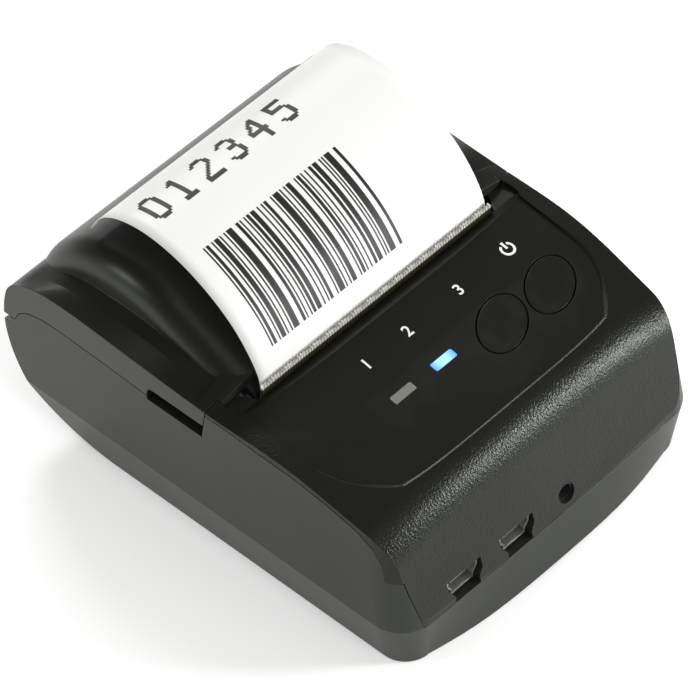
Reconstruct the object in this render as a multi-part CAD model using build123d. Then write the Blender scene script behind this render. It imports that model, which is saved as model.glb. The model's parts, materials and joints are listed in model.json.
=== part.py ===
from build123d import *
import math
import os

os.makedirs("parts", exist_ok=True)

# Overall sizes, in millimetres. X runs across, -Y is the front, +Z is up, and the origin
# is on the floor under the middle of the body.
body_width = 77.5
body_length = 97.4
hump_top = 47.5
foot_width = 73.0
wall = 2.0
seam_gap = 0.2
seam_z = 10.0
half_width = body_width / 2
half_foot = foot_width / 2
front_y = -body_length / 2
rear_y = body_length / 2

# The paper bin and the rear of the body share one round form about the roll's axis.
rear_radius = 24.0
bin_y = rear_y - rear_radius
bin_z = rear_radius
hump_radius = hump_top - bin_z
hump_half = 33.0
hump_edge_radius = 5.0
roll_radius = 19.0
roll_half = 28.6
core_radius = 7.5
core_bore_radius = 6.0
paper_half = 28.75
paper_thickness = 0.2

# Front form: a leaning face, a rolled front edge and a gently falling top.
face_lean = 0.2766
edge_roll = (-41.3, 28.4)
edge_bend = (-19.0, 35.0)
edge_back = (2.0, 35.05)
mid_roll = (-40.6, 31.3)
mid_bend = (-19.0, 35.35)
mid_back = (2.0, 39.3)
roll_round = 10.0
deck_sunk = 0.6

# Lid line, tear edge and hinge.
seam_y = -0.8
lid_front_y = -2.0
lid_jog_half = 35.6
tear_y = -4.9
tear_z = 37.54
tear_half = 29.3
hinge_y = rear_y - 2.15
hinge_z = 22.4
slot_low = 28.4
slot_high = 31.3
slot_rear = 13.3
knuckle_radius = 2.1
pin_radius = 1.0
knuckle_split = 24.0
knuckle_half = 36.2
lid_low_z = 24.8
case_back_z = 20.0

# Print mechanism.
platen_y = 0.9
platen_z = 29.3
platen_radius = 5.0
platen_shaft_radius = 2.0
module = 0.5
platen_teeth = 16
idler_teeth = 30
motor_teeth = 12
gear_x = 33.5
gear_width = 2.6
plate_in = 29.6
plate_out = 31.1
bracket_in = 31.5
bracket_out = 33.0
bushing_radius = 2.6
bushing_bore = platen_shaft_radius + 0.05
head_pivot = (-6.7, 21.0)
head_top = 32.4
motor_radius = 7.5
motor_length = 12.0

# Controls on the deck, placed in the deck's own sloping plane.
deck_slope = math.degrees(math.atan(0.194))
key_v = -19.35
key_long = 12.9
key_short = 8.6
key_turn = 30.0
feed_x = 11.5
power_x = 24.1
key_gap = 0.3
key_travel = 0.5
lamp_v = -17.7
lamp_long = 5.2
lamp_short = 1.75
mode_x = -12.1
lit_x = -1.8
board_drop = 7.6

# Sockets along the front face.
com_x = -22.4
usb_x = -9.0
jack_x = 3.7
jack_z = 12.9
board_top = 10.4
board_thick = 1.2

# Battery and its door.
battery_x = -8.5
battery_width = 42.0
battery_y0 = -40.0
battery_y1 = -6.0
battery_z0 = 2.3
battery_z1 = 8.6
door_travel = 6.5

deck_plane = Plane(
    origin=(0, tear_y, tear_z),
    x_dir=(1, 0, 0),
    z_dir=(0, -math.sin(math.radians(deck_slope)), math.cos(math.radians(deck_slope))),
)


def save(name, shape):
    """Write one named piece; several separate solids of a piece stay one group."""
    solids = shape.solids()
    piece = solids[0] if len(solids) == 1 else Compound(children=list(solids))
    piece.label = name
    export_step(piece, f"parts/{name}.step")
    print(f"{name}: {len(solids)} solid(s), {piece.volume:.1f} mm3")


def box(x0, x1, y0, y1, z0, z1):
    """A block between two corners."""
    middle = ((x0 + x1) / 2, (y0 + y1) / 2, (z0 + z1) / 2)
    return Pos(*middle) * Box(x1 - x0, y1 - y0, z1 - z0)


def rod(y, z, radius, x0, x1):
    """A round bar along X."""
    return Pos((x0 + x1) / 2, y, z) * Rot(0, 90, 0) * Cylinder(radius, x1 - x0)


def post(x, y, radius, z0, z1):
    """A round upright bar."""
    return Pos(x, y, (z0 + z1) / 2) * Cylinder(radius, z1 - z0)


def side_face(points, x, radii=None):
    """A flat face in a plane across X, from (y, z) corner points, with rounded corners."""
    if radii is None:
        outline = Polyline(*points, close=True)
    else:
        outline = FilletPolyline(*points, radius=radii, close=True)
    return Plane.YZ.offset(x) * make_face(outline)


def side_prism(points, x0, x1, radii=None):
    """A solid between x0 and x1 with a side profile given as (y, z) points."""
    return extrude(side_face(points, x0, radii), amount=x1 - x0)


def both_sides(shape):
    """A shape and its mirror image across the middle plane."""
    return shape + mirror(shape, Plane.YZ)


def mix(a, b, t):
    """A point between a and b."""
    return (a[0] + (b[0] - a[0]) * t, a[1] + (b[1] - a[1]) * t)


def face_y(z):
    """Y of the leaning front face at a height."""
    return front_y - 0.48 + face_lean * (z - 2.0)


def front_section(x, t, inset, sunk):
    """The front half's side profile; t is 0 on the middle line and 1 at the side edge."""
    roll = mix(mid_roll, edge_roll, t)
    bend = mix(mid_bend, edge_bend, t)
    back = mix(mid_back, edge_back, t)
    points = [
        (face_y(0) + 1.04 * inset + face_lean * inset, inset),
        (roll[0] + 0.75 * inset, roll[1] - inset),
        (bend[0], bend[1] - inset - sunk),
        (back[0], back[1] - inset - sunk),
        (back[0], inset),
    ]
    radii = [max(2.3 - inset, 0.3), roll_round - inset, 60.0, 0, 0]
    return side_face(points, x, radii)


def front_body(inset=0.0, sunk=0.0):
    """The front half, nearly flat across the middle and falling in a curve to each edge."""
    sections = []
    for share in (-1.0, -0.83, -0.62, -0.34, 0.0, 0.34, 0.62, 0.83, 1.0):
        sections.append(front_section(share * half_width, share ** 4, inset, sunk))
    return loft(sections)


def wall_outline(z, half, corner, inset, front, knee=None):
    """One horizontal outline of the walls at height z: rear line, sides and front corners."""
    side = half - inset
    end = (corner[0] - inset, corner[1] + inset * 0.4)
    tip = (corner[2] - inset * 0.4, front + inset)
    mid = (end[0] * 0.7 + tip[0] * 0.3 + 0.35, end[1] * 0.3 + tip[1] * 0.7 + 0.35)
    back = rear_y + 20
    with BuildSketch(Plane.XY.offset(z)) as sketch:
        with BuildLine():
            Line((-side, back), (side, back))
            Line((side, back), (side, seam_y))
            if knee:
                ThreePointArc((side, seam_y), (knee[0] - inset, knee[1]), end)
            else:
                Line((side, seam_y), end)
            ThreePointArc(end, mid, tip)
            ThreePointArc(tip, (0, tip[1] - corner[3]), (-tip[0], tip[1]))
            ThreePointArc((-tip[0], tip[1]), (-mid[0], mid[1]), (-end[0], end[1]))
            if knee:
                ThreePointArc((-end[0], end[1]), (inset - knee[0], knee[1]), (-side, seam_y))
            else:
                Line((-end[0], end[1]), (-side, seam_y))
            Line((-side, seam_y), (-side, back))
        make_face()
    return sketch.sketch


def wall_body(inset=0.0):
    """The walls seen from above: drafted below the low crease, leaning in at the front."""
    foot = wall_outline(0, half_foot, (half_foot, -40.2, 31.0, 3.4), inset, -45.3)
    crease = wall_outline(seam_z, half_width, (half_width, -39.7, 32.2, 0.3), inset, -46.5)
    top = wall_outline(60, half_width, (32.6, -40.6, 29.5, 0.3), inset, -42.0, (36.9, -22.0))
    return loft([foot, crease], ruled=True) + loft([crease, top], ruled=True)


def hump_face(x, inset):
    """The middle of the rear half: floor, round back, hump and the slope down to the slot."""
    r_low = rear_radius - inset
    r_top = hump_radius - inset
    edge = (lid_front_y, 37.3 - inset * 1.1)
    dy = edge[0] - bin_y
    dz = edge[1] - bin_z
    turn = math.atan2(dz, dy) - math.acos(r_top / math.hypot(dy, dz))
    touch = (bin_y + r_top * math.cos(turn), bin_z + r_top * math.sin(turn))
    c = math.cos(math.radians(45))
    with BuildSketch(Plane.YZ.offset(x)) as sketch:
        with BuildLine():
            Line((edge[0], inset), (bin_y, inset))
            low = (bin_y + r_low * c, bin_z - r_low * c)
            high = (bin_y + (r_low + r_top) / 2 * c, bin_z + (r_low + r_top) / 2 * c)
            ThreePointArc((bin_y, inset), low, (bin_y + r_low, bin_z))
            ThreePointArc((bin_y + r_low, bin_z), high, (bin_y, bin_z + r_top))
            mid = (math.pi / 2 + turn) / 2
            over = (bin_y + r_top * math.cos(mid), bin_z + r_top * math.sin(mid))
            ThreePointArc((bin_y, bin_z + r_top), over, touch)
            Line(touch, edge)
            Line(edge, (edge[0], inset))
        make_face()
    return sketch.sketch


# Crease lines of the cover's shoulder, each as (y, z) points from front to rear.
outer_crease = [(-2.0, 35.0), (4.2, 35.24), (17.4, 35.9), (27.0, 36.5), (36.2, 36.6), (41.8, 35.7)]
middle_crease = [(-2.0, 35.8), (4.5, 36.3), (10.0, 37.6), (24.2, 38.3), (34.0, 37.9), (42.5, 35.4)]
inner_crease = [(-2.0, 36.3), (6.5, 36.9), (15.2, 39.0), (26.0, 39.6), (36.2, 38.6), (42.5, 35.6)]
middle_crease_x = 35.5


def shoulder_face(x, crease, inset):
    """The rear half's side profile through one crease line of the shoulder."""
    r = rear_radius - inset
    lowered = [(y, z - inset) for y, z in crease]
    last = lowered[-1]
    angle = math.radians(16)
    meet = (bin_y + r * math.cos(angle), bin_z + r * math.sin(angle))
    down = (math.sin(angle), -math.cos(angle))
    with BuildSketch(Plane.YZ.offset(x)) as sketch:
        with BuildLine():
            Line((lowered[0][0], inset), (bin_y, inset))
            c = math.cos(math.radians(-37))
            s = math.sin(math.radians(-37))
            ThreePointArc((bin_y, inset), (bin_y + r * c, bin_z + r * s), meet)
            Spline(last, meet, tangents=[(0.93, -0.37), down])
            Spline(*lowered, tangents=[(1, 0.05), (0.93, -0.37)])
            Line(lowered[0], (lowered[0][0], inset))
        make_face()
    return sketch.sketch


def rear_body(inset=0.0):
    """The rear half: a hump over the roll between two shoulders with raised creases."""
    half = hump_half - inset
    hump = extrude(hump_face(-half, inset), amount=2 * half)
    tops = hump.edges().filter_by(lambda e: abs(abs(e.center().X) - half) < 0.01)
    tops = tops.filter_by(lambda e: e.center().Z > bin_z + 5 and e.length > 5)
    hump = fillet(tops, hump_edge_radius - inset)
    inner = shoulder_face(half, inner_crease, inset)
    middle = shoulder_face(middle_crease_x - inset, middle_crease, inset)
    outer = shoulder_face(half_width, outer_crease, inset)
    side = loft([inner, middle], ruled=True) + loft([middle, outer], ruled=True)
    floor = extrude(shoulder_face(-half, inner_crease, inset), amount=2 * half)
    return hump + floor + both_sides(side)


def cover_region(gap=0.0):
    """The space the cover takes: above the curved side seam and behind the slot."""
    g = gap
    side = [
        (seam_y - g, 60), (seam_y - g, 35.1), (0.4 - g, slot_low - g), (slot_rear, slot_low - g),
        (slot_rear, 29.2 - g), (24.0, 29.7 - g), (35.2, 30.0 - g),
        (38.8, 29.8 - g), (42.3, 28.9 - g), (44.6, 27.4 - g), (46.1, lid_low_z - g), (60, lid_low_z - g),
        (60, 60),
    ]
    space = side_prism(side, -50, 50)
    front = box(-lid_jog_half - g, lid_jog_half + g, lid_front_y - g, 5, 20, 60)
    return space + front


def finger_slots():
    """The slots at the sides by which the cover is lifted; they undercut its lower edge."""
    side = [
        (-3, 20), (-3, slot_high), (slot_rear - 1.3, slot_high), (slot_rear - 0.4, slot_high - 0.4),
        (slot_rear, slot_high - 1.3), (slot_rear, 20),
    ]
    return both_sides(side_prism(side, 33.0, 50))


def top_region(gap=0.0):
    """The space the top shell takes: above the side crease and down the front corners."""
    g = gap
    side = [
        (2, 60), (2, 34.4 - g), (-5.8, 34.4 - g), (-20.8, 33.2 - g), (-28.8, 31.5 - g),
        (-34.8, 29.7 - g), (-38.3, 27.6 - g), (-40.2, 24.5 - g), (-40.9, 21), (-60, 21),
        (-60, 60),
    ]
    front = [(-33.5, seam_z - g), (33.5, seam_z - g), (34.8 + g, 17.5), (35.4 + g, 22.0), (35.6 + g, 60),
             (-35.6 - g, 60), (-35.4 - g, 22.0), (-34.8 - g, 17.5)]
    face = Plane.XZ * make_face(Polyline(*front, close=True))
    panel = extrude(face, amount=60) & box(-50, 50, -60, -40.0, 0, 70)
    lowered = side_prism([(y, z - 4.0) for y, z in side], -50, 50)
    return side_prism(side, -50, 50) + panel + (lowered & wall_body(wall - g))


def deck_outline(points, w):
    """A mirrored outline in a plane parallel to the deck, at height w above it."""
    plane = deck_plane.offset(w)
    with BuildSketch(plane) as sketch:
        with BuildLine():
            right = points + []
            left = [(-x, v) for x, v in reversed(points)]
            Line(left[-1], right[0])
            Line(right[0], right[1])
            ThreePointArc(right[1], right[2], right[3])
            Line(right[3], left[0])
            ThreePointArc(left[0], left[1], left[2])
            Line(left[2], left[3])
        make_face()
    return sketch.sketch


def deck_cut():
    """The sunk deck: a flat-bottomed hollow whose bevel widens toward the front."""
    inner = [(35.6, 6.0), (34.6, -15.5), (32.2, -24.0), (25.0, -29.6)]
    outer = [(36.6, 6.0), (36.0, -18.5), (34.0, -27.2), (28.5, -33.2)]
    low = deck_outline(inner, -0.2)
    high = deck_outline(outer, 0.95)
    funnel = extrude(low, amount=-6, dir=deck_plane.z_dir) + loft([low, high], ruled=True)
    funnel += extrude(high, amount=6, dir=deck_plane.z_dir)
    return funnel - front_body(0.0, deck_sunk)


def deck_point(u, v, w):
    """A place in the deck's plane with a direction square to it."""
    return deck_plane * Pos(u, v, w)


def key_shape(x, grow, w0, w1):
    """An oval bar square to the deck for a key, its hole or its flange."""
    oval = Ellipse(key_long / 2 + grow, key_short / 2 + grow)
    return deck_point(x, key_v, w0) * Rot(0, 0, key_turn) * extrude(oval, amount=w1 - w0)


def lamp_shape(x, grow, w0, w1):
    """A rectangular bar square to the deck for a lamp window or its hole."""
    bar = Box(lamp_long + 2 * grow, lamp_short + 2 * grow, w1 - w0)
    bar = fillet(bar.edges().filter_by(Axis.Z), 0.3)
    return deck_point(x, lamp_v, (w0 + w1) / 2) * bar


screw_posts = [(32.2, -36.0), (-32.2, -36.0), (32.8, -20.5), (-32.8, -20.5)]
post_radius = 2.2
screw_radius = 0.9
post_split_z = 12.0
chassis_posts = [(26.4, -1.7), (26.4, 4.1), (-26.4, -1.7), (-26.4, 4.1)]
chassis_foot_z = 4.0
board_posts = [(-16.6, -15.4), (-16.6, -26.4), (4.4, -26.8), (27.6, -26.9)]
main_posts = [(-26.8, -41.4), (11.5, -41.4), (-31.6, -27.0), (15.4, -27.0)]


def shells():
    """The three outer mouldings, before their fittings."""
    outer = (front_body() + rear_body()) & wall_body()
    inner = (front_body(wall) + rear_body(wall)) & wall_body(wall)
    skin = outer - inner
    cover = skin & cover_region()
    rest = skin - cover_region(seam_gap)
    top = rest & top_region()
    case = rest - top_region(seam_gap)
    return outer, inner, top, case, cover


def hinge_knuckle(x0, x1, up):
    """A hinge barrel with a web up to the cover or down to the case's back wall."""
    barrel = rod(hinge_y, hinge_z, knuckle_radius, x0, x1)
    inner = hinge_y - knuckle_radius
    if up:
        web = box(x0, x1, inner, hinge_y + 1.9, hinge_z, lid_low_z + 0.6)
    else:
        web = box(x0, x1, inner - 0.2, hinge_y + 1.7, case_back_z - 0.8, hinge_z)
    round_back = rod(bin_y, bin_z, rear_radius, -60, 60)
    return (barrel + web & round_back) - rod(hinge_y, hinge_z, pin_radius + 0.05, -60, 60)


def cover_shell(skin):
    """The hinged cover with its middle hinge barrel and the two arms that carry the platen."""
    body = skin - finger_slots() + hinge_knuckle(-knuckle_split + 0.3, knuckle_split - 0.3, True)
    arm = side_prism(
        [(-2.4, 27.0), (-2.4, 31.5), (0.6, 37.2), (16.0, 40.5), (24.0, 38.0), (12.0, 33.5),
         (4.6, 26.6), (-0.4, 26.0)], bracket_in, bracket_out)
    arm = arm & front_and_rear_inner
    body += both_sides(arm)
    return body - rod(platen_y, platen_z, bushing_radius, -bracket_out - 1, bracket_out + 1)


def lower_case(skin):
    """The tub: floor, side walls, paper bin, roll cradle, bosses, hinge lugs and battery bay."""
    keep = knuckle_half + 0.3
    body = skin - box(-keep, keep, 42.5, 60, case_back_z, 30)
    body -= box(-60, 60, 47.2, 60, 23.2, 30)
    for x0, x1 in ((-knuckle_half, -knuckle_split), (knuckle_split, knuckle_half)):
        body += hinge_knuckle(x0, x1, False)
    bin_wall = box(29.5, 31.0, 10.2, 46, 1, 27.0) & rod(bin_y, bin_z, rear_radius - 0.6, 0, 50)
    bin_wall -= box(0, 50, 41.8, 60, case_back_z - 1, 40)
    body += both_sides(bin_wall)
    ribs = Part()
    for x in (-21.0, -7.0, 7.0, 21.0):
        disc = rod(bin_y, bin_z, rear_radius - 1.0, x - 0.75, x + 0.75)
        ribs += disc & box(x - 1, x + 1, 11.5, 40.5, 0, 12.0)
    body += ribs - rod(bin_y, bin_z, roll_radius + 0.35, -40, 40)
    for x, y in screw_posts:
        body += post(x, y, post_radius, 1.0, post_split_z)
    for x, y in chassis_posts:
        body += post(x, y, post_radius, 1.0, chassis_foot_z)
    x0 = battery_x - battery_width / 2
    x1 = battery_x + battery_width / 2
    body += box(x0 - 1.0, x1 + 1.0, battery_y1 - 0.2, battery_y1 + door_travel + 0.9, 1.0, 3.3)
    body -= door_opening(x0, x1)
    for x, y in main_posts:
        body += post(x, y, 1.6, 1.9, board_top - board_thick)
    for x, y in screw_posts:
        body -= post(x, y, screw_radius + 0.3, -1, 20) + post(x, y, 1.5, -1, 8.0)
    for x, y in chassis_posts:
        body -= post(x, y, screw_radius, 1.6, 10)
    for x, y in main_posts:
        body -= post(x, y, 0.75, 5.0, 20)
    body -= rod(hinge_y, hinge_z, pin_radius + 0.05, -knuckle_half + 0.9, knuckle_half - 0.9)
    return body


door_tabs = [-37.0, -17.0]
tab_length = 6.0
door_inset = 0.4


def door_opening(x0, x1):
    """The hole in the floor for the battery door, with pockets and a run-out for its tabs."""
    y0 = battery_y0 + door_inset
    y1 = battery_y1 - door_inset
    g = 0.25
    hole = box(x0 + door_inset - g, x1 - door_inset + g, y0 - g, y1 + g, -1, 4)
    hole += box(x0 + door_inset - g, x1 - door_inset + g, y1, y1 + door_travel + 0.4, -1, 1.95)
    for y in door_tabs:
        wide = (x0 - 0.9, x1 + 0.9)
        hole += box(*wide, y - g, y + tab_length + door_travel + 0.3, 0.85, 4)
        hole += box(*wide, y + tab_length + g, y + tab_length + door_travel + 0.3, -1, 1)
    return hole


def battery_door():
    """A flat door with four tabs and a finger rib; it slides back and drops off."""
    x0 = battery_x - battery_width / 2 + door_inset
    x1 = battery_x + battery_width / 2 - door_inset
    y0 = battery_y0 + door_inset
    y1 = battery_y1 - door_inset
    plate = box(x0, x1, y0, y1, 0.25, 1.85)
    for y in door_tabs:
        plate += box(x0 - 1.1, x1 + 1.1, y, y + tab_length, 1.1, 1.85)
    for i in range(5):
        y = y1 - 8 + i * 1.5
        plate -= box(battery_x - 8, battery_x + 8, y - 0.35, y + 0.35, 0, 0.65)
    return plate


def top_shell(skin):
    """The top and front panel: sunk deck, slot trough, key and lamp holes, sockets and bosses."""
    body = skin - deck_cut()
    body += tear_ledge()
    body -= trough_cut()
    for x in (feed_x, power_x):
        body -= key_shape(x, key_gap, -6, 4)
    for x in (mode_x, lit_x):
        body -= lamp_shape(x, 0.06, -6, 4)
    for x, y in screw_posts:
        pillar = post(x, y, post_radius, post_split_z + 0.1, 36) & front_inner_grown
        body += pillar - post(x, y, screw_radius - 0.1, 0, 19)
    for u, v in board_posts:
        pillar = deck_point(u, v, -board_drop / 2) * Cylinder(1.6, board_drop)
        pillar = pillar & front_inner_grown
        body += pillar - deck_point(u, v, -board_drop + 1.5) * Cylinder(0.7, 4.0)
    for x in (com_x, usb_x):
        body -= socket_hole(x)
    body -= Pos(jack_x, -45, jack_z) * Rot(90, 0, 0) * Cylinder(1.95, 12)
    return body


def socket_hole(x):
    """A notch for a small five-pin socket, wide side up, standing on the seam."""
    low = 3.1
    high = 4.25
    z0 = seam_z - 0.3
    z1 = seam_z + 4.65
    shape = Polyline((x - low, z0), (x + low, z0), (x + low, z0 + 1.6), (x + high, z0 + 3.0),
                     (x + high, z1), (x - high, z1), (x - high, z0 + 3.0), (x - low, z0 + 1.6),
                     close=True)
    return extrude(Plane.XZ * make_face(shape), amount=60) & box(-50, 50, -60, -42, 0, 70)


def trough_cut():
    """The scoop in front of the slot: a ramp that falls toward the tear edge."""
    plan = Pos(0, -4.3) * RectangleRounded(72.0, 9.4, 4.2)
    walls = extrude(Plane.XY.offset(20) * plan, amount=30)
    ramp = side_prism([(-9.0, 36.9), (-5.45, 34.9), (2, 34.9), (2, 60), (-9.0, 60)], -50, 50)
    slot = box(-30.2, 30.2, -5.45, 5, 10, 60)
    return (walls & ramp) + slot


def tear_ledge():
    """The ledge under the tear bar, hung from the rear edge of the deck."""
    ledge = side_prism([(-8.6, 34.4), (-8.6, 38), (-5.45, 38), (-5.45, 33.1), (-6.6, 33.1)], -33, 33)
    return ledge & front_inner_grown


def tear_bar():
    """A thin steel strip with fine teeth along its top edge."""
    pitch = 0.8
    count = int(2 * tear_half / pitch)
    points = [(-tear_half, 33.4), (tear_half, 33.4), (tear_half, tear_z - 0.7)]
    start = tear_half - (2 * tear_half - count * pitch) / 2
    for i in range(count):
        x = start - i * pitch
        points += [(x - pitch * 0.12, tear_z - 0.55), (x - pitch * 0.5, tear_z)]
        points += [(x - pitch * 0.88, tear_z - 0.55)]
    points += [(-tear_half, tear_z - 0.7)]
    face = Plane.XZ.offset(-tear_y + 0.05) * make_face(Polyline(*points, close=True))
    return extrude(face, amount=0.5)


def chassis():
    """The inner frame: side plates with open platen seats, a cross wall and a paper guide."""
    plate = side_prism(
        [(-17.8, 9.4), (-17.8, 22.0), (-15.5, 24.5), (-15.5, 32.4), (-9.5, 32.4), (-5.8, 31.8),
         (-2.8, 33.4), (7.6, 33.4), (7.6, 20.0), (9.6, 12.0), (9.6, 4.0), (-4.5, 4.0),
         (-4.5, 9.4)], plate_in, plate_out)
    r = bushing_radius + 0.12
    plate -= rod(platen_y, platen_z, r, plate_in - 1, plate_out + 1)
    slot = [(platen_y - r, platen_z), (platen_y + r, platen_z), (platen_y + r + 1.6, 36),
            (platen_y - r - 0.3, 36)]
    plate -= side_prism(slot, plate_in - 1, plate_out + 1)
    frame = both_sides(plate)
    frame += box(-plate_in - 0.1, plate_in + 0.1, -15.5, -14.0, 22.4, 32.4)
    for x in (-16.0, 16.0):
        frame += Pos(x, -13.2, 29.0) * Rot(90, 0, 0) * Cylinder(1.4, 2.0)
    frame += guide_plate()
    for x, y in chassis_posts:
        side = 1 if x > 0 else -1
        foot = box(23.8, plate_in + 0.1, -4.5, 9.6, chassis_foot_z, chassis_foot_z + 1.5)
        frame += foot if side > 0 else mirror(foot, Plane.YZ)
    for x, y in chassis_posts:
        frame -= post(x, y, screw_radius + 0.2, 0, 10)
    frame -= rod(head_pivot[0], head_pivot[1], pin_radius + 0.02, -40, 40)
    motor_y, motor_z = motor_axis
    frame -= rod(motor_y, motor_z, 3.0, plate_in - 1, plate_out + 1)
    idler_y, idler_z = idler_axis
    frame -= rod(idler_y, idler_z, 1.5, plate_in - 1, plate_out + 1) & box(0, 50, -50, 50, 0, 60)
    return frame


web_start = (10.3, 11.1)
web_dir = (-0.666, 0.746)
web_normal = (-0.746, -0.666)


def web_point(t, d):
    """A (y, z) place along the paper's run to the platen, at distance d below it."""
    return (web_start[0] + t * web_dir[0] + d * web_normal[0],
            web_start[1] + t * web_dir[1] + d * web_normal[1])


def guide_plate():
    """The plate that guides the paper up to the platen, with a window for the sensor."""
    ends = [web_point(2.6, 1.0), web_point(15.5, 1.0), web_point(15.5, 2.5), web_point(2.6, 2.5)]
    plate = side_prism(ends, -plate_in - 0.1, plate_in + 0.1)
    window = [web_point(6.9, 0), web_point(11.1, 0), web_point(11.1, 4), web_point(6.9, 4)]
    return plate - side_prism(window, -2.6, 2.6)


def paper_sensor():
    """A small reflective sensor seated in the guide plate's window."""
    body = [web_point(7, 1.2), web_point(11, 1.2), web_point(11, 3.3), web_point(7, 3.3)]
    return side_prism(body, -2.5, 2.5)


platen_axis = (platen_y, platen_z)
idler_axis = (platen_y - 4.3, platen_z - 10.72)
motor_axis = (platen_y - 13.6, platen_z - 15.6)


def angle_between(a, b):
    """Direction from a to b in the side view, in radians."""
    return math.atan2(b[1] - a[1], b[0] - a[0])


def mesh_phase(phase, teeth, centre, other_teeth, other_centre):
    """The tooth phase that puts the second gear's tooth into a gap of the first."""
    toward = angle_between(centre, other_centre)
    pitch = 2 * math.pi / teeth
    offset = (phase - toward) % pitch
    shift = (offset + pitch / 2) * teeth / other_teeth
    return toward + math.pi - shift


platen_phase = 0.3
idler_phase = mesh_phase(platen_phase, platen_teeth, platen_axis, idler_teeth, idler_axis)
motor_phase = mesh_phase(idler_phase, idler_teeth, idler_axis, motor_teeth, motor_axis)


def gear(teeth, phase, centre, bore, hub_radius):
    """A spur gear with sloping flanks, a hub and a bore, lying across X."""
    radius = module * teeth / 2
    tip = radius + 0.42
    root = radius - 0.6
    points = []
    for i in range(teeth):
        middle = phase + 2 * math.pi * i / teeth
        for r, half in ((root, 0.44), (radius, 0.325), (tip, 0.17)):
            turn = middle - half / r
            points.append((centre[0] + r * math.cos(turn), centre[1] + r * math.sin(turn)))
        for r, half in ((tip, 0.17), (radius, 0.325), (root, 0.44)):
            turn = middle + half / r
            points.append((centre[0] + r * math.cos(turn), centre[1] + r * math.sin(turn)))
    wheel = side_prism(points, gear_x, gear_x + gear_width)
    if hub_radius:
        wheel += rod(centre[0], centre[1], hub_radius, gear_x - 0.3, gear_x + gear_width + 0.1)
    return wheel - rod(centre[0], centre[1], bore, 0, 60)


def idler_gear():
    """The idler with a thin web between rim and hub."""
    y, z = idler_axis
    wheel = gear(idler_teeth, idler_phase, idler_axis, 1.28, 2.6)
    groove = rod(y, z, 6.0, gear_x + 1.8, gear_x + 5) - rod(y, z, 2.6, gear_x, gear_x + 5)
    return wheel - groove


def print_head():
    """The ceramic print head plate with its raised heating line."""
    plate = box(-29.2, 29.2, -5.4, -4.8, 21.8, head_top)
    line = box(-28.8, 28.8, -4.82, -4.56, 28.3, 30.3)
    return plate + line


def head_heatsink():
    """The aluminium plate behind the head, with fins and a pivot bore."""
    plate = box(-29.2, 29.2, -7.4, -5.4, 22.6, head_top)
    lug = rod(head_pivot[0], head_pivot[1], 1.9, -29.2, 29.2)
    lug += box(-29.2, 29.2, -8.3, -5.4, 21.0, 24.0)
    lug -= box(-40, 40, -5.4, 0, 10, 40)
    fins = Part()
    for i in range(9):
        x = -24 + i * 6
        fins += box(x - 0.6, x + 0.6, -8.3, -7.3, 23.5, head_top)
    pads = box(-18.5, -13.5, -8.3, -7.3, 26.5, 31.5) + box(13.5, 18.5, -8.3, -7.3, 26.5, 31.5)
    return plate + lug + fins + pads - rod(head_pivot[0], head_pivot[1], pin_radius + 0.04, -50, 50)


def head_springs():
    """Two small coil springs that press the head to the platen."""
    coil = Helix(pitch=1.25, height=4.4, radius=1.9)
    section = Plane(origin=coil @ 0, z_dir=coil % 0) * Circle(0.22)
    wire = sweep(section, path=coil)
    springs = Part()
    for x in (-16.0, 16.0):
        springs += Pos(x, -13.6, 29.0) * Rot(-90, 0, 0) * wire
    return springs


def feed_motor():
    """The stepper motor's can with its flange, fixed to the inside of the right plate."""
    y, z = motor_axis
    can = rod(y, z, motor_radius, plate_in - 0.8 - motor_length, plate_in - 0.8)
    flange = rod(y, z, 2.9, plate_in - 0.8, plate_in + 1.0)
    ears = box(plate_in - 0.8, plate_in, y - 4.9, y + 8.9, z - 3, z + 3)
    lead = box(plate_in - 9.5, plate_in - 4.5, y - 9.4, y - 6.8, z - 2.5, z + 2.5)
    shape = can + flange + ears + lead
    return shape - rod(y, z, 0.82, plate_in - 8, plate_in + 2)


def motor_rotor():
    """The motor's shaft with its small brass pinion."""
    y, z = motor_axis
    wheel = gear(motor_teeth, motor_phase, motor_axis, 0.2, 0)
    return wheel + rod(y, z, 0.75, plate_in - 7, gear_x + gear_width + 0.2)


def shifted(points, amount):
    """The same run of points moved sideways to the left of its own direction."""
    moved = []
    for i, (y, z) in enumerate(points):
        before = points[max(i - 1, 0)]
        after = points[min(i + 1, len(points) - 1)]
        dy = after[0] - before[0]
        dz = after[1] - before[1]
        length = math.hypot(dy, dz)
        moved.append((y - dz / length * amount, z + dy / length * amount))
    return moved


paper_curl = [(-4.3, 36.9), (-2.3, 41.7), (1.7, 46.9), (5.8, 50.2), (9.9, 52.6), (14.0, 54.3),
              (18.2, 55.3), (22.4, 55.6), (26.7, 55.0), (31.1, 53.1), (33.2, 51.1), (35.4, 47.3)]


def curl_run(start):
    """Points along one smooth curve from the platen over the tear bar to the free end."""
    curve = Spline(start, *paper_curl, tangents=[(-0.1, 1), (0.45, -0.89)])
    marks = [curve @ (i / 20) for i in range(21)]
    return [(mark.X, mark.Y) for mark in marks]


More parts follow.
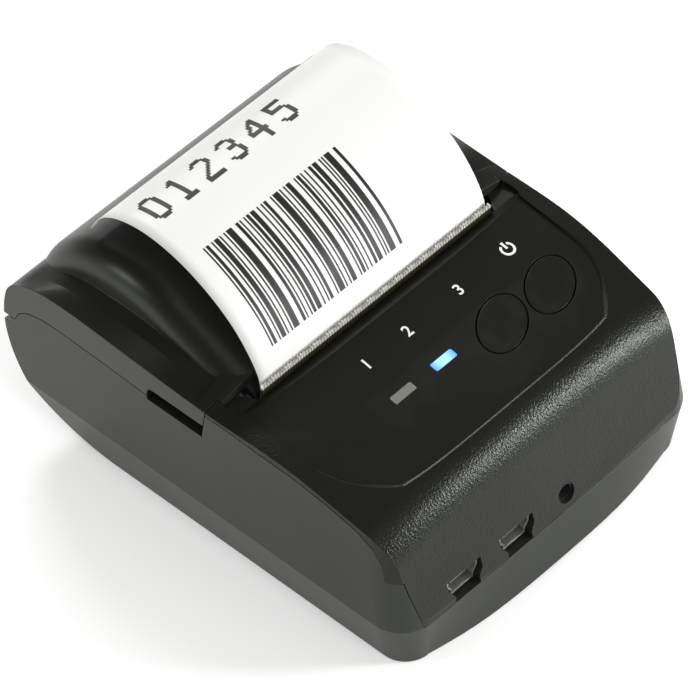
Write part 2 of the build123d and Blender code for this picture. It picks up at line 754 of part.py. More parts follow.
def paper_strip():
    """Paper from the roll, round the front of the platen and out in a rising curl."""
    near = platen_radius + 0.05
    far = near + paper_thickness

    def at(radius, degrees):
        turn = math.radians(degrees)
        return (platen_y + radius * math.cos(turn), platen_z + radius * math.sin(turn))

    inside = curl_run(at(near, 186))
    outside = shifted(inside, paper_thickness)
    outside[0] = at(far, 186)
    with BuildSketch(Plane.YZ.offset(-paper_half)) as sketch:
        with BuildLine():
            Line(web_point(0, 0.0), at(near, 221.8))
            ThreePointArc(at(near, 221.8), at(near, 205), at(near, 186))
            for run in (inside, outside):
                for i in range(0, len(run) - 2, 2):
                    ThreePointArc(*run[i:i + 3])
            Line(inside[-1], outside[-1])
            ThreePointArc(at(far, 221.8), at(far, 205), at(far, 186))
            Line(at(far, 221.8), web_point(0, paper_thickness))
            Line(web_point(0, paper_thickness), web_point(0, 0.0))
        make_face()
    return extrude(sketch.sketch, amount=2 * paper_half)


def key_cap(x):
    """An oval key with a flange below the deck and a stem over its switch."""
    cap = key_shape(x, 0, -3.2, 3) & front_body(0.0, deck_sunk)
    cap += key_shape(x, 0.5, -3.2, -2.5)
    cap += deck_point(x, key_v, -4.0) * Cylinder(2.2, 1.8)
    return cap


def key_plunger(x):
    """The switch's own push pin, which travels with the key."""
    return deck_point(x, key_v, -5.5) * Cylinder(1.5, 1.2)


def key_switch(x):
    """A square switch on the key board, bored for its push pin."""
    body = deck_point(x, key_v, -board_drop + 0.9) * Box(6.2, 6.2, 1.8)
    return body - deck_point(x, key_v, -board_drop + 1.6) * Cylinder(1.65, 1.6)


def lamp_window(x):
    """A clear light pipe: flush with the deck, with a flange below it."""
    bar = lamp_shape(x, 0, -3.0, 0.3) & front_body(0.0, deck_sunk)
    return bar + lamp_shape(x, 0.7, -3.4, -2.7)


def lamp_chip(x):
    """The small lamp on the key board under its light pipe."""
    return deck_point(x, lamp_v, -board_drop + 0.6) * Box(3.2, 1.6, 1.2)


def key_board():
    """The circuit board under the deck that carries the switches and lamps."""
    board = deck_point(5.8, -21.2, -board_drop - 0.6) * Box(48.4, 15.6, 1.2)
    for u, v in board_posts:
        board -= deck_point(u, v, -board_drop - 0.6) * Cylinder(0.9, 3)
    return board


def main_board():
    """The main circuit board over the battery, with a few chips on it."""
    board = box(-29.4, 14.0, -43.3, -16.2, board_top - board_thick, board_top)
    board += box(-33.3, 17.2, -29.5, -24.6, board_top - board_thick, board_top)
    for x, y in main_posts:
        board -= post(x, y, 0.9, 0, 20)
    board += box(-24, -16, -33, -25, board_top, board_top + 1.0)
    board += box(-10, -5, -34, -29, board_top, board_top + 1.0)
    board += box(8, 12.5, -36, -32.5, board_top, board_top + 1.4)
    board += box(6.5, 11.5, -27, -22, board_top, board_top + 2.4)
    return board


def radio_module():
    """The short-range radio board under its metal can."""
    board = box(-13.4, 1.0, -27.4, -17.0, board_top, board_top + 0.8)
    return board + box(-12.9, -3.0, -26.9, -17.5, board_top + 0.8, board_top + 2.4)


def small_socket(x):
    """A five-pin socket's folded shell with its contact tongue."""
    z0 = board_top
    y0 = face_y(12.5) + 1.2
    outer = [(x - 2.9, z0), (x + 2.9, z0), (x + 2.9, z0 + 1.2), (x + 3.85, z0 + 2.4),
             (x + 3.85, z0 + 3.9), (x - 3.85, z0 + 3.9), (x - 3.85, z0 + 2.4), (x - 2.9, z0 + 1.2)]
    inner = [(x - 2.55, z0 + 0.35), (x + 2.55, z0 + 0.35), (x + 2.55, z0 + 1.35),
             (x + 3.5, z0 + 2.55), (x + 3.5, z0 + 3.55), (x - 3.5, z0 + 3.55),
             (x - 3.5, z0 + 2.55), (x - 2.55, z0 + 1.35)]
    shell = extrude(Plane.XZ.offset(-y0) * make_face(Polyline(*outer, close=True)), amount=-8.0)
    mouth = extrude(Plane.XZ.offset(-y0 + 0.1) * make_face(Polyline(*inner, close=True)), amount=-7.2)
    tongue = box(x - 1.9, x + 1.9, y0 + 1.0, y0 + 7.5, z0 + 1.5, z0 + 2.2)
    return shell - mouth + tongue


def dc_jack():
    """The round power socket with its centre pin."""
    y0 = face_y(jack_z) + 3.2
    body = box(jack_x - 3.4, jack_x + 3.4, y0, y0 + 9.0, board_top, jack_z + 2.9)
    body += Pos(jack_x, y0 - 1.1, jack_z) * Rot(90, 0, 0) * Cylinder(1.85, 2.8)
    hole = Pos(jack_x, y0 + 2.0, jack_z) * Rot(90, 0, 0) * Cylinder(1.6, 9.6)
    pin = Pos(jack_x, y0 + 3.4, jack_z) * Rot(90, 0, 0) * Cylinder(0.6, 8.4)
    return body - hole + pin


def battery_pack():
    """Two flat cells side by side in a shrink sleeve."""
    half = battery_width / 4
    cells = Part()
    for x in (battery_x - half, battery_x + half):
        cell = box(x - half + 0.3, x + half - 0.3, battery_y0 + 0.7, battery_y1 - 0.7,
                   battery_z0, battery_z1)
        cells += fillet(cell.edges().filter_by(Axis.Y), 1.6)
    middle = (battery_z0 + battery_z1) / 2
    return cells + box(battery_x - 2, battery_x + 2, battery_y0 + 1.2, battery_y1 - 1.2,
                       middle - 2.0, middle + 2.0)


def battery_contacts():
    """Three leaf contacts between the battery and the main board."""
    contacts = Part()
    for x in (0.0, 4.0, 8.0):
        contacts += box(x - 0.8, x + 0.8, -24.0, -18.0, battery_z1 + 0.03, battery_z1 + 0.3)
        contacts += box(x - 0.8, x + 0.8, -19.0, -18.0, battery_z1 + 0.03, board_top - board_thick)
    return contacts


def screw(x, y, z_head, length, up):
    """A pan-head screw; its head is at z_head and its thread runs up or down."""
    way = 1 if up else -1
    head = post(x, y, 1.35, min(z_head, z_head - way * 1.0), max(z_head, z_head - way * 1.0))
    head -= Pos(x, y, z_head - way * 1.0) * Box(1.6, 0.4, 0.8)
    return head + post(x, y, 0.75, min(z_head, z_head + way * length), max(z_head, z_head + way * length))


def case_screws():
    """Four screws up through the floor into the top shell."""
    group = Part()
    for x, y in screw_posts:
        group += screw(x, y, 8.0, 8.0, True)
    return group


def chassis_screws():
    """Four screws that hold the frame's feet."""
    group = Part()
    for x, y in chassis_posts:
        group += screw(x, y, chassis_foot_z + 1.5, 3.4, False)
    return group


def board_screws():
    """Screws that hold the main board and the key board."""
    group = Part()
    for x, y in main_posts:
        group += screw(x, y, board_top, 4.0, False)
    for u, v in board_posts:
        head = Pos(0, 0, -board_drop - 1.7) * Cylinder(1.3, 1.0)
        thread = Pos(0, 0, -board_drop + 0.1) * Cylinder(0.6, 2.8)
        group += deck_plane * Pos(u, v, 0) * (head + thread)
    return group


outer_body, front_and_rear_inner, top_skin, case_skin, cover_skin = shells()
front_inner_grown = front_body(wall - 0.7) & wall_body(wall)

save("lower_case", lower_case(case_skin))
save("top_shell", top_shell(top_skin))
save("tear_bar", tear_bar())
save("cover_shell", cover_shell(cover_skin))
save("chassis", chassis())
save("battery_door", battery_door())
save("battery_pack", battery_pack())
save("battery_contacts", battery_contacts())
save("main_board", main_board())
save("radio_module", radio_module())
save("com_socket", small_socket(com_x))
save("usb_socket", small_socket(usb_x))
save("dc_jack", dc_jack())
save("key_board", key_board())
save("feed_switch", key_switch(feed_x))
save("power_switch", key_switch(power_x))
save("feed_plunger", key_plunger(feed_x))
save("power_plunger", key_plunger(power_x))
save("feed_button", key_cap(feed_x))
save("power_button", key_cap(power_x))
save("mode_window", lamp_window(mode_x))
save("power_window", lamp_window(lit_x))
save("mode_lamp", lamp_chip(mode_x))
save("power_lamp", lamp_chip(lit_x))
save("print_head", print_head())
save("head_heatsink", head_heatsink())
save("head_pivot_pin", rod(head_pivot[0], head_pivot[1], pin_radius, -plate_out, plate_out))
save("head_springs", head_springs())
save("feed_motor", feed_motor())
save("motor_pinion", motor_rotor())
save("idler_gear", idler_gear())
save("idler_stud", rod(idler_axis[0], idler_axis[1], 1.2, plate_in - 0.5, gear_x + gear_width + 0.6)
     + rod(idler_axis[0], idler_axis[1], 1.5, plate_in, plate_out)
     + rod(idler_axis[0], idler_axis[1], 2.2, plate_out, gear_x - 0.6))
roller = rod(platen_y, platen_z, platen_radius, -paper_half, paper_half)
save("platen_roller", roller - rod(platen_y, platen_z, platen_shaft_radius, -40, 40))
save("platen_shaft", rod(platen_y, platen_z, platen_shaft_radius, -bracket_out - 0.6,
                         gear_x + gear_width + 0.2))
save("platen_gear", gear(platen_teeth, platen_phase, platen_axis, platen_shaft_radius, 2.9))
bushing = rod(platen_y, platen_z, bushing_radius, plate_in + 0.05, bracket_out)
bushing -= rod(platen_y, platen_z, bushing_bore, 0, 60)
save("platen_bushings", both_sides(bushing))
save("hinge_pin", rod(hinge_y, hinge_z, pin_radius, -knuckle_half + 1, knuckle_half - 1))
tube = rod(bin_y, bin_z, core_radius, -roll_half, roll_half)
save("paper_core", tube - rod(bin_y, bin_z, core_bore_radius, -40, 40))
roll = rod(bin_y, bin_z, roll_radius, -roll_half, roll_half)
save("paper_roll", roll - rod(bin_y, bin_z, core_radius, -40, 40))
save("paper_strip", paper_strip())
save("paper_sensor", paper_sensor())
save("case_screws", case_screws())
save("chassis_screws", chassis_screws())
save("board_screws", board_screws())
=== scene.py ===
# %% [markdown]
# A pocket receipt printer, dressed for its portrait
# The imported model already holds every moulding, gear and screw in metres, with the floor at
# z = 0 and the front of the printer toward -Y. This lesson gives each of them its finish, makes
# the curl of receipt paper with its print, and adds the fine marks that a solid model leaves out.

# %% Load the frame
import math
import bpy
import bmesh
import json
import numpy as np
from mathutils import Matrix, Vector


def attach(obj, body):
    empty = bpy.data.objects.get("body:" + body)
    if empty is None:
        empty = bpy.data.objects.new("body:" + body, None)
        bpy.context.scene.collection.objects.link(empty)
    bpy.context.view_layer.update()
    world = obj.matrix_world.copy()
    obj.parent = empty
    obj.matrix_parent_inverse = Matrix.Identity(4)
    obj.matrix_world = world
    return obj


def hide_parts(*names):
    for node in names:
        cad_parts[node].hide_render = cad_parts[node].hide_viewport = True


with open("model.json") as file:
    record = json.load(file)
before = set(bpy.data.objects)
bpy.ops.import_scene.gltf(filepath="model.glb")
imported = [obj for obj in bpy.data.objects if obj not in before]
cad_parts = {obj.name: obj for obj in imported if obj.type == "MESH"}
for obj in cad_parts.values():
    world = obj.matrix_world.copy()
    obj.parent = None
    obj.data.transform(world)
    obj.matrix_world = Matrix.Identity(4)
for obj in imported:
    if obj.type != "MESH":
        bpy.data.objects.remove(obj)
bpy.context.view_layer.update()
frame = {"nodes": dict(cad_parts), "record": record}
nodes = frame["nodes"]
MM = 0.001

# %% [markdown]
# The camera
# The photo was taken from the front left, looking down at about 48 degrees, with a long lens.
# The camera is built from those angles, a distance and the point that lands at the middle of
# the picture, so that the model sits in the frame as the real printer does.

# %% Camera at the photo's viewing angle
VIEW_AZIMUTH = math.radians(-46.3)
VIEW_ELEVATION = math.radians(47.586)
VIEW_ROLL = math.radians(-1.229)
VIEW_DISTANCE = 0.936631
FOCAL_PIXELS = 5237.9
PICTURE = 700
SENSOR_WIDTH = 36
ORIGIN_PIXEL = (361.5, 423.6)
ORIGIN_POINT = Vector((0.0, -0.0008, 0.0))


def camera_axes(azimuth, elevation, roll):
    """Right, up and backward directions of the camera."""
    back = Vector((
        math.sin(azimuth) * math.cos(elevation),
        -math.cos(azimuth) * math.cos(elevation),
        math.sin(elevation),
    ))
    right = (-back).cross(Vector((0, 0, 1))).normalized()
    up = right.cross(-back)
    turned_right = right * math.cos(roll) + up * math.sin(roll)
    turned_up = up * math.cos(roll) - right * math.sin(roll)
    return turned_right, turned_up, back


def add_camera():
    """The photo's camera, as the scene's own camera."""
    right, up, back = camera_axes(VIEW_AZIMUTH, VIEW_ELEVATION, VIEW_ROLL)
    across = (ORIGIN_PIXEL[0] - PICTURE / 2) / FOCAL_PIXELS * VIEW_DISTANCE
    down = (ORIGIN_PIXEL[1] - PICTURE / 2) / FOCAL_PIXELS * VIEW_DISTANCE
    place = ORIGIN_POINT + back * VIEW_DISTANCE - right * across + up * down
    data = bpy.data.cameras.new("photo_camera")
    data.sensor_width = SENSOR_WIDTH
    data.lens = FOCAL_PIXELS * data.sensor_width / PICTURE
    data.clip_start = 0.01
    camera = bpy.data.objects.new("photo_camera", data)
    basis = Matrix((right, up, back)).transposed()
    camera.matrix_world = Matrix.Translation(place) @ basis.to_4x4()
    bpy.context.scene.collection.objects.link(camera)
    bpy.context.scene.camera = camera
    return camera


camera = add_camera()
print("camera at", [round(v, 3) for v in camera.location], "lens", round(camera.data.lens, 1))

# %% [markdown]
# World and floor
# The printer was photographed on a white table in a white room. A picture or a dome lamp could
# stand in for that room, but a black product shows its form only by what it mirrors, so here
# each kind of ray gets its own answer: the eye sees plain white, a mirror ray sees white only
# near the table and a dark ceiling above it, and all other light is one dim even fill. The
# dark ceiling keeps the deck black, and the white table brightens the side walls.

# %% Backgrounds and a switch by kind of ray
view = bpy.context.scene.view_settings
view.view_transform = "Standard"
WHITE = (1, 1, 1)


def add_background(tree, colour, strength):
    """One Background shader with a plain colour and strength."""
    node = tree.nodes.new("ShaderNodeBackground")
    node.inputs["Color"].default_value = (*colour, 1)
    node.inputs["Strength"].default_value = strength
    return node.outputs[0]


def mix_by_ray(tree, rays, otherwise, shown):
    """Show one shader to the named kinds of ray and another to the rest."""
    path = tree.nodes.new("ShaderNodeLightPath")
    test = path.outputs[rays[0]]
    for ray in rays[1:]:
        either = tree.nodes.new("ShaderNodeMath")
        either.operation = "MAXIMUM"
        tree.links.new(test, either.inputs[0])
        tree.links.new(path.outputs[ray], either.inputs[1])
        test = either.outputs[0]
    mix = tree.nodes.new("ShaderNodeMixShader")
    tree.links.new(test, mix.inputs[0])
    tree.links.new(otherwise, mix.inputs[1])
    tree.links.new(shown, mix.inputs[2])
    return mix.outputs[0]


print("view transform:", view.view_transform)

# %% World
CEILING = 0.02
FILL = 0.58
HORIZON_LOW = -0.06
HORIZON_HIGH = 0.03


def build_world():
    """White to the eye, white only near the table to a mirror, and a dim fill as a lamp."""
    world = bpy.data.worlds.new("studio")
    world.use_nodes = True
    tree = world.node_tree
    tree.nodes.clear()
    place = tree.nodes.new("ShaderNodeTexCoord")
    split = tree.nodes.new("ShaderNodeSeparateXYZ")
    tree.links.new(place.outputs["Generated"], split.inputs[0])
    height = tree.nodes.new("ShaderNodeMapRange")
    height.interpolation_type = "SMOOTHSTEP"
    height.inputs["From Min"].default_value = HORIZON_LOW
    height.inputs["From Max"].default_value = HORIZON_HIGH
    tree.links.new(split.outputs["Z"], height.inputs["Value"])
    mirrored = tree.nodes.new("ShaderNodeMixShader")
    tree.links.new(height.outputs[0], mirrored.inputs[0])
    tree.links.new(add_background(tree, WHITE, 1.0), mirrored.inputs[1])
    tree.links.new(add_background(tree, (0.9, 0.95, 1.0), CEILING), mirrored.inputs[2])
    fill = add_background(tree, (1.0, 0.995, 0.98), FILL)
    lit = mix_by_ray(tree, ["Is Glossy Ray"], fill, mirrored.outputs[0])
    white = add_background(tree, WHITE, 1.0)
    shown = mix_by_ray(tree, ["Is Camera Ray", "Is Transmission Ray"], lit, white)
    out = tree.nodes.new("ShaderNodeOutputWorld")
    tree.links.new(shown, out.inputs["Surface"])
    bpy.context.scene.world = world


build_world()
print("world: fill", FILL, "and ceiling", CEILING)

# %% [markdown]
# The floor
# The table is a plain sheet of pale card. It could be hidden from the camera, but then the
# printer would float, so it stays and keeps the printer's soft shadow. A little light of its
# own lifts it to the white of the room, for the eye and for mirrors but not as a lamp.

# %% Pale floor
FLOOR_SIZE = 3.0
FLOOR_COLOUR = (0.86, 0.86, 0.86, 1)
FLOOR_LIFT = 0.30


def build_floor():
    """A plain pale floor that keeps the printer's shadow and is lifted to white for the eye."""
    bpy.ops.mesh.primitive_grid_add(x_subdivisions=8, y_subdivisions=8, size=FLOOR_SIZE)
    floor = bpy.context.object
    floor.name = "studio_floor"
    floor.location.z = -0.0002
    material = bpy.data.materials.new("floor_paper")
    material.use_nodes = True
    tree = material.node_tree
    shader = tree.nodes["Principled BSDF"]
    shader.inputs["Base Color"].default_value = FLOOR_COLOUR
    shader.inputs["Roughness"].default_value = 0.9
    shader.inputs["Specular IOR Level"].default_value = 0.1
    glow = tree.nodes.new("ShaderNodeEmission")
    glow.inputs["Color"].default_value = (*WHITE, 1)
    glow.inputs["Strength"].default_value = FLOOR_LIFT
    both = tree.nodes.new("ShaderNodeAddShader")
    tree.links.new(shader.outputs[0], both.inputs[0])
    tree.links.new(glow.outputs[0], both.inputs[1])
    seen = ["Is Camera Ray", "Is Transmission Ray", "Is Glossy Ray"]
    shown = mix_by_ray(tree, seen, shader.outputs[0], both.outputs[0])
    tree.links.new(shown, tree.nodes["Material Output"].inputs["Surface"])
    floor.data.materials.append(material)
    return floor


floor = build_floor()
print("floor:", floor.name, "lifted by", FLOOR_LIFT)

# %% [markdown]
# Lamps
# The light falls from soft panels, as from the boxes round a table-top set. Small lamps would
# leave hard spots on black plastic, and a dome would flatten it. One panel at the front right
# draws the bright band on the rolled front edge. One near the camera and one behind the right
# mostly reach the paper, and a narrow one at the left draws a thin line on the upper side edge.

# %% Soft lamps
def add_panel(name, place, aim, size, power):
    """A soft rectangular lamp that looks at a point."""
    data = bpy.data.lights.new(name, "AREA")
    data.shape = "RECTANGLE"
    data.size = size[0]
    data.size_y = size[1]
    data.energy = power
    lamp = bpy.data.objects.new(name, data)
    lamp.location = place
    direction = Vector(aim) - Vector(place)
    lamp.rotation_euler = direction.to_track_quat("-Z", "Y").to_euler()
    lamp.visible_camera = False
    bpy.context.scene.collection.objects.link(lamp)
    return lamp


FRONT_EDGE = (0.03, -0.04, 0.025)
BODY = (0, 0, 0.03)
PAPER_TOP = (0, 0, 0.04)
add_panel("key_panel", (0.26, -0.35, 0.145), FRONT_EDGE, (0.075, 0.12), 1.5)
add_panel("camera_panel", (-0.20, -0.56, 0.76), BODY, (0.30, 0.30), 1.5)
add_panel("right_rear_panel", (0.40, 0.66, 0.62), PAPER_TOP, (0.30, 0.24), 3.6)
add_panel("left_rear_panel", (-0.66, 0.40, 0.32), BODY, (0.05, 0.14), 0.9)

# %% [markdown]
# Shared effects
# Four effects come back on many of the pieces: a moulded leather grain, a fine satin texture,
# a brushed drag for metal, and handling wear that catches edges and corners, which on the socket
# shells also paints a highlight on their rims. Each could be copied into every material, but a
# node group is built once and mended once. The groups give out only masks and heights, and each
# material decides what to do with them.

# %% Helpers for node groups
def new_group(name, inputs, outputs):
    """An empty shader group with float inputs and outputs."""
    group = bpy.data.node_groups.new(name, "ShaderNodeTree")
    for label, value in inputs:
        socket = group.interface.new_socket(label, in_out="INPUT", socket_type="NodeSocketFloat")
        socket.default_value = value
    for label in outputs:
        group.interface.new_socket(label, in_out="OUTPUT", socket_type="NodeSocketFloat")
    start = group.nodes.new("NodeGroupInput")
    end = group.nodes.new("NodeGroupOutput")
    return group, start, end


def add_math(tree, operation, a, b=None, clamp=False):
    """A Math node whose inputs are sockets or plain numbers."""
    node = tree.nodes.new("ShaderNodeMath")
    node.operation = operation
    node.use_clamp = clamp
    for i, value in enumerate((a, b)):
        if value is None:
            continue
        if isinstance(value, (int, float)):
            node.inputs[i].default_value = value
        else:
            tree.links.new(value, node.inputs[i])
    return node.outputs[0]


def place_coordinates(tree):
    """Object coordinates: the frame's own metres, the same on every piece."""
    return tree.nodes.new("ShaderNodeTexCoord").outputs["Object"]


def add_noise(tree, scale, detail=3.0, roughness=0.5, vector=None):
    """A noise texture on the object's own coordinates."""
    node = tree.nodes.new("ShaderNodeTexNoise")
    node.inputs["Detail"].default_value = detail
    node.inputs["Roughness"].default_value = roughness
    if isinstance(scale, (int, float)):
        node.inputs["Scale"].default_value = scale
    else:
        tree.links.new(scale, node.inputs["Scale"])
    tree.links.new(vector or place_coordinates(tree), node.inputs["Vector"])
    return node.outputs["Fac"]


# %% Leather grain
GRAIN_WARP = 0.0005
GRAIN_FINE = 3200.0


def build_leather_grain():
    """Small rounded pebbles with fine valleys, as etched into a mould."""
    group, start, end = new_group("leather_grain", [("Scale", 1500.0)], ["Height", "Valley"])
    warp = add_noise(group, start.outputs["Scale"], 2.0)
    where = place_coordinates(group)
    shifted = group.nodes.new("ShaderNodeVectorMath")
    shifted.operation = "MULTIPLY_ADD"
    group.links.new(where, shifted.inputs[2])
    group.links.new(warp, shifted.inputs[0])
    shifted.inputs[1].default_value = (GRAIN_WARP,) * 3
    cells = group.nodes.new("ShaderNodeTexVoronoi")
    cells.feature = "SMOOTH_F1"
    cells.inputs["Smoothness"].default_value = 0.6
    group.links.new(start.outputs["Scale"], cells.inputs["Scale"])
    group.links.new(shifted.outputs[0], cells.inputs["Vector"])
    pebble = add_math(group, "SUBTRACT", 1.0, cells.outputs["Distance"])
    fine = add_noise(group, GRAIN_FINE, 2.0)
    height = add_math(group, "ADD", pebble, add_math(group, "MULTIPLY", fine, 0.5))
    group.links.new(height, end.inputs["Height"])
    valley = add_math(group, "MULTIPLY", cells.outputs["Distance"], 1.3, clamp=True)
    group.links.new(valley, end.inputs["Valley"])
    return group


GRAIN = build_leather_grain()
print("grain outputs:", [o.name for o in GRAIN.interface.items_tree if o.in_out == "OUTPUT"])


# %% Satin and brushed textures
CLOUD_SCALE = 45.0
BRUSH_STRETCH = (0.02, 1.0, 1.0)


def build_satin():
    """A barely visible spark-eroded texture, with a broad cloudiness over it."""
    group, start, end = new_group("satin_texture", [("Scale", 4500.0)], ["Height", "Cloud"])
    group.links.new(add_noise(group, start.outputs["Scale"], 3.0, 0.6), end.inputs["Height"])
    group.links.new(add_noise(group, CLOUD_SCALE, 4.0, 0.6), end.inputs["Cloud"])
    return group


def build_brushed():
    """Fine scratches drawn along X, as left by rolling and brushing."""
    group, start, end = new_group("brushed_drag", [("Scale", 900.0)], ["Height"])
    squeeze = group.nodes.new("ShaderNodeMapping")
    squeeze.inputs["Scale"].default_value = BRUSH_STRETCH
    group.links.new(place_coordinates(group), squeeze.inputs["Vector"])
    drag = add_noise(group, start.outputs["Scale"], 4.0, 0.7, squeeze.outputs[0])
    group.links.new(drag, end.inputs["Height"])
    return group


SATIN = build_satin()
BRUSHED = build_brushed()
print("textures:", SATIN.name, "and", BRUSHED.name)


# %% Handling wear, and a painted highlight on the socket rims
EDGE_LOW = 0.53
EDGE_HIGH = 0.62
WEAR_BREAKS = 420.0


def build_wear():
    """Where hands polish a piece, and where the socket shells get a painted rim highlight: its
    outer edges, broken up by a coarse noise.
    """
    group, start, end = new_group("handling_wear_and_glint", [("Amount", 0.5)], ["Edge"])
    point = group.nodes.new("ShaderNodeNewGeometry").outputs["Pointiness"]
    ramp = group.nodes.new("ShaderNodeMapRange")
    ramp.inputs["From Min"].default_value = EDGE_LOW
    ramp.inputs["From Max"].default_value = EDGE_HIGH
    group.links.new(point, ramp.inputs["Value"])
    breaks = add_noise(group, WEAR_BREAKS, 4.0, 0.7)
    broken = add_math(group, "MULTIPLY", ramp.outputs[0], breaks)
    edge = add_math(group, "MULTIPLY", broken, start.outputs["Amount"], clamp=True)
    group.links.new(edge, end.inputs["Edge"])
    return group


WEAR_AND_GLINT = build_wear()
print("effects:", [g.name for g in (GRAIN, SATIN, BRUSHED, WEAR_AND_GLINT)])

# %% [markdown]
# A recipe for one finish
# No real surface is one even colour. Every finish here follows the same steps: two near colours
# blended by a cloudy noise, a roughness that varies a little round its own value, a bump from
# one of the effects, and a touch of wear. Painted pictures could do this too, but they need
# unwrapped meshes, and noise works on any piece. The shader itself stays in the material,
# where its plain values can be read.

# %% Colours and values by a mask
def use_group(tree, group, **values):
    """Place a shared effect in a material with its own values."""
    node = tree.nodes.new("ShaderNodeGroup")
    node.node_tree = group
    for label, value in values.items():
        node.inputs[label].default_value = value
    return node


def blend_colours(tree, mask, first, second):
    """A colour between two, by a mask; each may be a socket or a plain colour."""
    node = tree.nodes.new("ShaderNodeMix")
    node.data_type = "RGBA"
    tree.links.new(mask, node.inputs["Factor"])
    for socket, value in ((node.inputs[6], first), (node.inputs[7], second)):
        if isinstance(value, tuple):
            socket.default_value = (*value, 1)
        else:
            tree.links.new(value, socket)
    return node.outputs[2]


def spread(tree, mask, low, high):
    """A number between low and high, by a mask from 0 to 1."""
    node = tree.nodes.new("ShaderNodeMapRange")
    node.inputs["To Min"].default_value = low
    node.inputs["To Max"].default_value = high
    tree.links.new(mask, node.inputs["Value"])
    return node.outputs[0]


print("mask helpers ready, wear group inputs:", len(WEAR_AND_GLINT.interface.items_tree) - 1)

# %% Finish recipe
def soften_edges(tree, bumping, radius):
    """Let light see each sharp edge as rounded by a small radius, as every moulding is."""
    rounding = tree.nodes.new("ShaderNodeBevel")
    rounding.samples = 4
    rounding.inputs["Radius"].default_value = radius
    tree.links.new(rounding.outputs["Normal"], bumping.inputs["Normal"])


def make_finish(name, colour, second, rough, texture=None, scale=4500.0, bump=0.1,
                depth=0.00002, metal=0.0, wear=0.4, worn_and_glint=None, specular=0.5, edge=0.0):
    """A material from two colours, a roughness range, a bump effect and edge wear, which on the
    socket shells is a painted highlight.
    """
    material = bpy.data.materials.new(name)
    material.use_nodes = True
    tree = material.node_tree
    shader = tree.nodes["Principled BSDF"]
    effect = use_group(tree, texture or SATIN, Scale=scale)
    cloud = use_group(tree, SATIN, Scale=scale).outputs["Cloud"]
    wear_and_glint = use_group(tree, WEAR_AND_GLINT, Amount=wear)
    # The lighter edge colour is handling wear, and on the socket shells a painted highlight on
    # their rims.
    rubbed_and_glint = worn_and_glint or tuple(min(1, c * 2.2 + 0.02) for c in colour)
    base = blend_colours(tree, cloud, colour, second)
    base = blend_colours(tree, wear_and_glint.outputs["Edge"], base, rubbed_and_glint)
    tree.links.new(base, shader.inputs["Base Color"])
    tree.links.new(spread(tree, cloud, rough[0], rough[1]), shader.inputs["Roughness"])
    shader.inputs["Metallic"].default_value = metal
    shader.inputs["Specular IOR Level"].default_value = specular
    bumping = tree.nodes.new("ShaderNodeBump")
    bumping.inputs["Strength"].default_value = bump
    bumping.inputs["Distance"].default_value = depth
    tree.links.new(effect.outputs["Height"], bumping.inputs["Height"])
    tree.links.new(bumping.outputs["Normal"], shader.inputs["Normal"])
    if edge:
        soften_edges(tree, bumping, edge)
    return material


finishes = {}
print("recipe ready, finishes so far:", len(finishes))

# %% [markdown]
# The black mouldings
# The tub's sides are a smooth black satin. The top shell is one moulding with two textures: a
# smooth sunk deck, and leather grain over the roll and the shoulders. Two materials would need
# the mesh cut along the deck's border, so one material carries both, and a mask in the shape
# of a rounded rectangle, in the printer's own coordinates, tells them apart.

# %% Deck mask
DECK_HALF_WIDTH = 0.0355
DECK_FRONT = 0.0365
DECK_MIDDLE = -0.009
DECK_OUTSIDE = 1.35
DECK_INSIDE = 0.75


def build_deck_mask():
    """One inside the sunk deck's rounded outline and nought outside it."""
    group, start, end = new_group("deck_mask", [("Power", 4.0)], ["Mask"])
    split = group.nodes.new("ShaderNodeSeparateXYZ")
    group.links.new(place_coordinates(group), split.inputs[0])
    across = add_math(group, "ABSOLUTE", split.outputs["X"])
    across = add_math(group, "DIVIDE", across, DECK_HALF_WIDTH)
    ahead = add_math(group, "SUBTRACT", DECK_MIDDLE, split.outputs["Y"])
    ahead = add_math(group, "MAXIMUM", ahead, 0.0)
    ahead = add_math(group, "DIVIDE", ahead, DECK_FRONT + DECK_MIDDLE)
    total = add_math(group, "ADD", add_math(group, "POWER", across, start.outputs["Power"]),
                     add_math(group, "POWER", ahead, start.outputs["Power"]))
    mask = group.nodes.new("ShaderNodeMapRange")
    mask.interpolation_type = "SMOOTHSTEP"
    mask.inputs["From Min"].default_value = DECK_OUTSIDE
    mask.inputs["From Max"].default_value = DECK_INSIDE
    group.links.new(total, mask.inputs["Value"])
    group.links.new(mask.outputs[0], end.inputs["Mask"])
    return group


DECK_MASK = build_deck_mask()
print("deck mask:", DECK_HALF_WIDTH * 2, "m wide")

# %% Top shell with its two textures
BLACK = (0.0095, 0.0100, 0.0088)
BLACK_SOFT = (0.0130, 0.0136, 0.0122)
BLACK_SHEEN = (0.93, 1.0, 0.91, 1)
SOFT_SHINE = 0.26


def add_bump(tree, height, strength, distance):
    """A Bump node that raises the surface by a height socket."""
    node = tree.nodes.new("ShaderNodeBump")
    node.inputs["Strength"].default_value = strength
    node.inputs["Distance"].default_value = distance
    tree.links.new(height, node.inputs["Height"])
    return node


